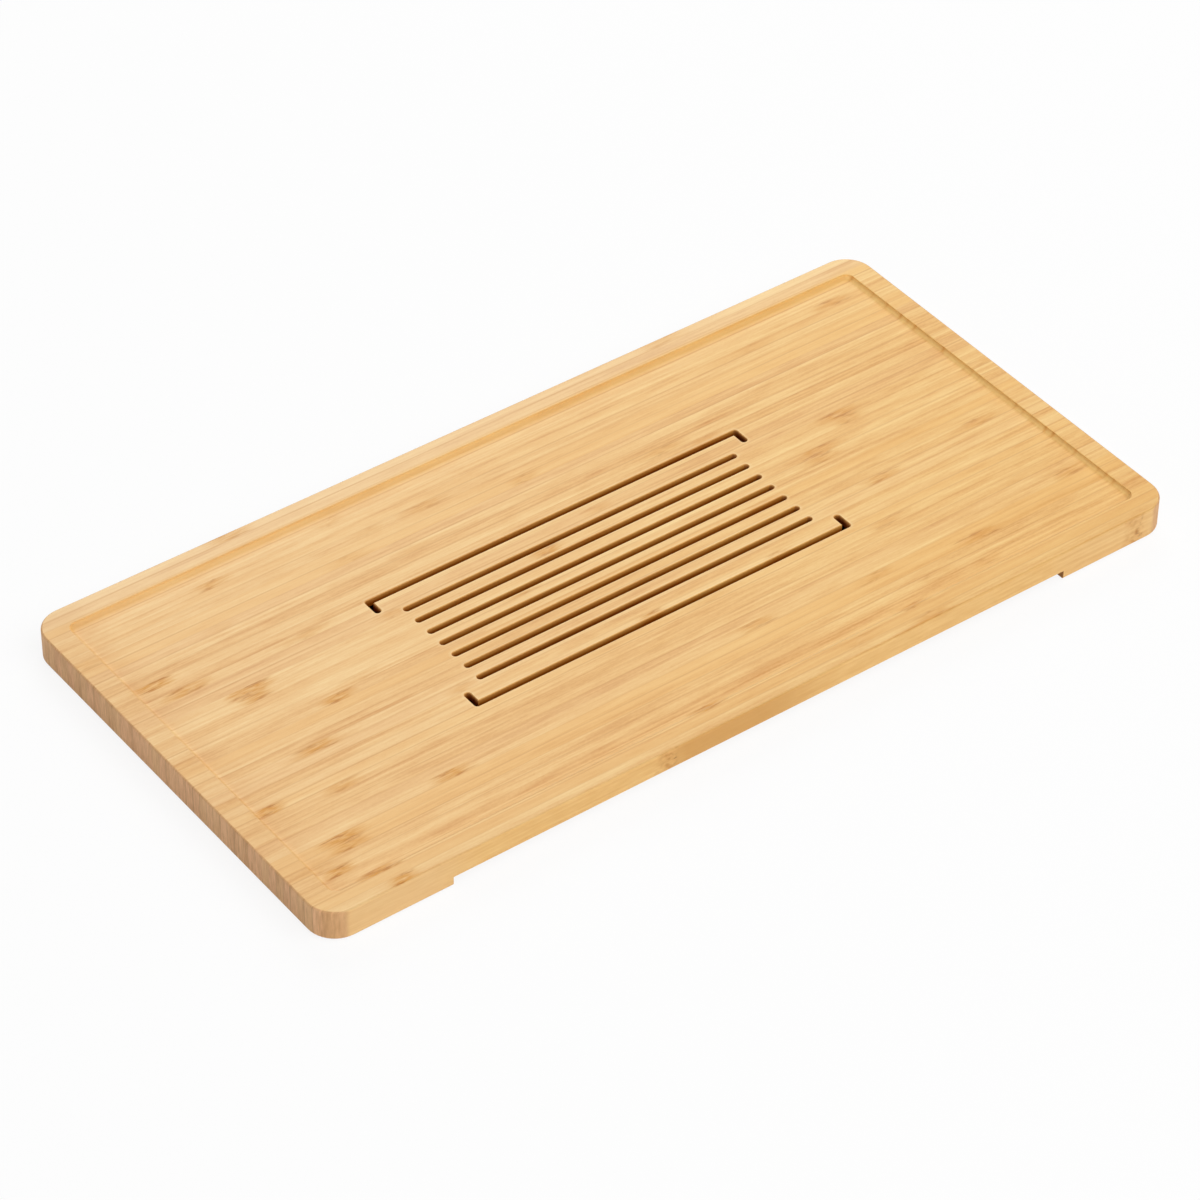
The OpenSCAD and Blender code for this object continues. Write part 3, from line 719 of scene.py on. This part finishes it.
def silicone():
    """Milky grey silicone with a little dust in its surface."""
    g = Graph("silicone_grey")
    place = g.place()
    cloud = g.noise(place, (4, 4, 4), seed=3.8)
    dust = g.remap(g.noise(place, (0.3, 0.3, 0.3), seed=7.2), 0.3, 0.6)
    milky = g.math("MULTIPLY_ADD", cloud, 0.4, 0.5, clamp=True)
    colour = g.lay(g.mix(milky, SILICONE_DARK, SILICONE_PALE), dust, SILICONE_DUST, 0.18)
    rough = g.total(SILICONE_ROUGH, (cloud, 0.06), (dust, 0.14))
    return g.finish(
        Base_Color=colour, Roughness=rough, Subsurface_Weight=SILICONE_MILKY,
        Subsurface_Scale=SILICONE_REACH, Normal=g.bump(dust, SILICONE_BUMP, 0.3),
    )


def turn(profile, bend=None):
    """Turns a profile of (radius, along) about its axis. Returns rings of (across, along, up)."""
    rings = []
    for radius, along in profile:
        ring = []
        for step in range(TURN_SIDES):
            angle = 2 * math.pi * step / TURN_SIDES
            reach = bend(radius, along, angle) if bend else radius
            ring.append((reach * math.cos(angle), along, reach * math.sin(angle)))
        rings.append(ring)
    return rings


def add_turned(node, rings, middle, upright, material, body, closed=True):
    """A piece made of rings, in millimetres. It stands for a CAD node and rides on its body."""
    mesh = bmesh.new()
    rows = []
    for ring in rings:
        row = []
        for across, along, up in ring:
            offset = (across, up, along) if upright else (across, along, up)
            row.append(mesh.verts.new((Vector(middle) + Vector(offset)) / MM))
        rows.append(row)
    if closed:
        rows.append(rows[0])
    for one, other in zip(rows, rows[1:]):
        for step in range(TURN_SIDES):
            after = (step + 1) % TURN_SIDES
            mesh.faces.new((one[step], one[after], other[after], other[step]))
    bmesh.ops.remove_doubles(mesh, verts=mesh.verts, dist=SAME_POINT)
    bmesh.ops.dissolve_degenerate(mesh, edges=mesh.edges, dist=SAME_POINT)
    bmesh.ops.recalc_face_normals(mesh, faces=mesh.faces)
    data = bpy.data.meshes.new(node)
    mesh.to_mesh(data)
    mesh.free()
    data.shade_smooth()
    data.set_sharp_from_angle(angle=math.radians(SHARP_ANGLE))
    data.materials.append(material)
    piece = bpy.data.objects.new(node + "_looks", data)
    bpy.context.scene.collection.objects.link(piece)
    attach(piece, body)
    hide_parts(node)


def quarter(radius, along, size, start):
    """A rounded corner's points: a quarter circle about (radius, along), from start in degrees."""
    angles = [math.radians(start + 90 * step / CORNER_STEPS) for step in range(CORNER_STEPS + 1)]
    return [(radius + size * math.cos(a), along + size * math.sin(a)) for a in angles]


def add_drain(brass, soft):
    """The threaded spigot in the pan's rear wall, its washer, its nut and the stopper in its tail."""
    (low, high), (nut_low, nut_high), (gasket_low, gasket_high), (plug_low, plug_high) = (
        [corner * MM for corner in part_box(node)]
        for node in ("drain_spigot", "spigot_nut", "spigot_gasket", "drain_plug")
    )
    axis = (gasket_low + gasket_high) / 2
    middle = (axis.x, 0, axis.z)
    seat = low.y + FLANGE_T
    thread_end = nut_high.y + THREAD_PAST_NUT

    def spigot_bend(radius, along, angle):
        if along <= seat and radius > THREAD_R:
            down = -math.sin(angle)
            return min(radius, (axis.z - low.z) / down) if down > 0 else radius
        if radius == THREAD_R and seat < along < thread_end:
            lead = min(1, (along - seat) / THREAD_PITCH, (thread_end - along) / THREAD_PITCH)
            phase = (along / THREAD_PITCH - angle / (2 * math.pi)) % 1
            return radius - THREAD_DEPTH * lead * abs(2 * phase - 1)
        return radius

    turns = round((thread_end - seat) / THREAD_PITCH * RINGS_PER_TURN)
    thread = [(THREAD_R, seat + (thread_end - seat) * step / turns) for step in range(turns + 1)]
    spigot = [
        (BORE_R, low.y), (FLANGE_R - EASE, low.y), (FLANGE_R, low.y + EASE), (FLANGE_R, seat), *thread,
        (TAIL_R - EASE, thread_end), (TAIL_R, thread_end + EASE), (TAIL_R, high.y - TAIL_CHAMFER),
        (TAIL_R - TAIL_CHAMFER, high.y), (BORE_R + EASE, high.y), (BORE_R, high.y - EASE),
    ]
    add_turned("drain_spigot", turn(spigot, spigot_bend), middle, False, brass, "pan")

    corner_r = (nut_high.x - nut_low.x) / 2
    flat_r = (nut_high.z - nut_low.z) / 2

    def nut_bend(radius, _, angle):
        past_corner = (angle + math.pi / 6) % (math.pi / 3) - math.pi / 6
        return min(radius, flat_r / math.cos(math.pi / 6 - abs(past_corner)))

    nut = [
        (NUT_BORE_R, nut_low.y), (flat_r - EASE, nut_low.y), (corner_r, nut_low.y + NUT_CHAMFER),
        (corner_r, nut_high.y - NUT_CHAMFER), (flat_r - EASE, nut_high.y),
        (NUT_BORE_R + EASE, nut_high.y), (NUT_BORE_R, nut_high.y - EASE),
    ]
    add_turned("spigot_nut", turn(nut, nut_bend), middle, False, brass, "pan")

    outer = gasket_high.x - axis.x - GASKET_ROUND
    washer = [(NUT_BORE_R, gasket_low.y)]
    washer += quarter(outer, gasket_low.y + GASKET_ROUND, GASKET_ROUND, -90)
    washer += quarter(outer, gasket_high.y - GASKET_ROUND, GASKET_ROUND, 0)
    washer += [(NUT_BORE_R, gasket_high.y)]
    add_turned("spigot_gasket", turn(washer), middle, False, soft, "pan")

    head_r = plug_high.x - axis.x

    def plug_bend(radius, along, angle):
        if radius < head_r - PLUG_ROUND or along > plug_high.y - PLUG_ROUND:
            return radius
        return radius - GRIP_DEPTH * max(0, math.cos(GRIPS * angle)) ** 2

    plug = [(0, plug_low.y)]
    plug += quarter(STEM_R - EASE, plug_low.y + EASE, EASE, -90)
    plug += [(STEM_R, high.y), (head_r - EASE, high.y), (head_r, high.y + EASE)]
    plug += quarter(head_r - PLUG_ROUND, plug_high.y - PLUG_ROUND, PLUG_ROUND, 0)
    plug += [(0, plug_high.y)]
    add_turned("drain_plug", turn(plug, plug_bend), middle, False, soft, "plug", closed=False)


def add_pad(node, soft):
    """A foot pad: a soft disc with a hollow in its underside."""
    low, high = (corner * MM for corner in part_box(node))
    middle = ((low.x + high.x) / 2, (low.y + high.y) / 2, 0)
    outer = (high.x - low.x) / 2
    pad = [(0, low.z + HOLLOW), (outer * HOLLOW_FLAT, low.z + HOLLOW), (outer * HOLLOW_EDGE, low.z)]
    pad += quarter(outer - PAD_ROUND, low.z + PAD_ROUND, PAD_ROUND, -90)
    pad += [(outer, high.z), (0, high.z)]
    add_turned(node, turn(pad), middle, True, soft, "tray", closed=False)


def dress(node, material):
    """Gives a CAD node its material."""
    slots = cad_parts[node].data.materials
    slots.clear()
    slots.append(material)


def add_camera():
    """The camera in front of the tray on the left, looking down on it."""
    data = bpy.data.cameras.new("camera")
    data.lens = CAMERA_LENS
    data.sensor_width = SENSOR_W
    data.clip_end = VIEW_DEPTH
    camera = bpy.data.objects.new("camera", data)
    bpy.context.scene.collection.objects.link(camera)
    heading = Matrix.Rotation(math.radians(-CAMERA_HEADING), 4, "Z")
    tilt = Matrix.Rotation(math.radians(90 - CAMERA_DOWN), 4, "X")
    roll = Matrix.Rotation(math.radians(CAMERA_ROLL), 4, "Z")
    camera.matrix_world = Matrix.Translation(CAMERA_AT) @ heading @ tilt @ roll
    bpy.context.scene.camera = camera


def add_area_light(name, at, size, power):
    """A square soft light, aimed at the tray."""
    data = bpy.data.lights.new(name, "AREA")
    data.shape = "SQUARE"
    data.size = size
    data.energy = power
    light = bpy.data.objects.new(name, data)
    light.location = at
    light.rotation_mode = "QUATERNION"
    light.rotation_quaternion = (-Vector(at)).to_track_quat("-Z", "Y")
    bpy.context.scene.collection.objects.link(light)


def seen_directly(tree):
    """1 for rays that show the background: those of the eye, of gloss and of glass."""
    path = tree.nodes.new("ShaderNodeLightPath")
    seen = path.outputs["Is Camera Ray"]
    for name in ("Is Glossy Ray", "Is Transmission Ray"):
        either = tree.nodes.new("ShaderNodeMath")
        either.operation = "MAXIMUM"
        tree.links.new(seen, either.inputs[0])
        tree.links.new(path.outputs[name], either.inputs[1])
        seen = either.outputs[0]
    return seen


def add_world():
    """White where it is seen, and dimmer as a source of light."""
    world = bpy.data.worlds.new("world")
    world.use_nodes = True
    bpy.context.scene.world = world
    tree = world.node_tree
    background = tree.nodes["Background"]
    background.inputs["Color"].default_value = WHITE
    level = tree.nodes.new("ShaderNodeMapRange")
    level.inputs["To Min"].default_value = AMBIENT
    level.inputs["To Max"].default_value = 1
    tree.links.new(seen_directly(tree), level.inputs["Value"])
    tree.links.new(level.outputs[0], background.inputs["Strength"])


def add_floor():
    """A near-white table. It shows the tray's soft shadow, and nothing from below."""
    mesh = bpy.data.meshes.new("floor")
    reach = FLOOR_REACH
    corners = [(-reach, -reach, 0), (reach, -reach, 0), (reach, reach, 0), (-reach, reach, 0)]
    mesh.from_pydata(corners, [], [(0, 1, 2, 3)])
    floor = bpy.data.objects.new("floor", mesh)
    bpy.context.scene.collection.objects.link(floor)
    g = Graph("floor_white")
    g.finish(Base_Color=FLOOR_COLOUR, Roughness=FLOOR_ROUGH, Specular_IOR_Level=0.0)
    glow = g.add("ShaderNodeEmission", {"Color": WHITE, "Strength": 1.0})
    share = g.product(seen_directly(g.material.node_tree), FLOOR_GLOW)
    lit = g.add("ShaderNodeMixShader", {0: share, 1: g.shader.outputs[0], 2: glow.outputs[0]})
    under = g.nodes.new("ShaderNodeNewGeometry").outputs["Backfacing"]
    clear = g.nodes.new("ShaderNodeBsdfTransparent")
    both = g.add("ShaderNodeMixShader", {0: under, 1: lit.outputs[0], 2: clear.outputs[0]})
    g.put(g.nodes["Material Output"].inputs["Surface"], both.outputs[0])
    mesh.materials.append(g.material)


add_camera()
add_world()
add_floor()
for light in LIGHTS:
    add_area_light(*light)

plastic = pan_plastic()
brass = turned_brass()
soft = silicone()
dress("bamboo_board", bamboo())
for node in ("water_pan", "left_runner", "right_runner"):
    dress(node, plastic)
dress("runner_screws", zinc())
add_drain(brass, soft)
for node in ("front_left_pad", "front_right_pad", "rear_left_pad", "rear_right_pad"):
    add_pad(node, soft)

bpy.context.scene.view_settings.view_transform = "Standard"
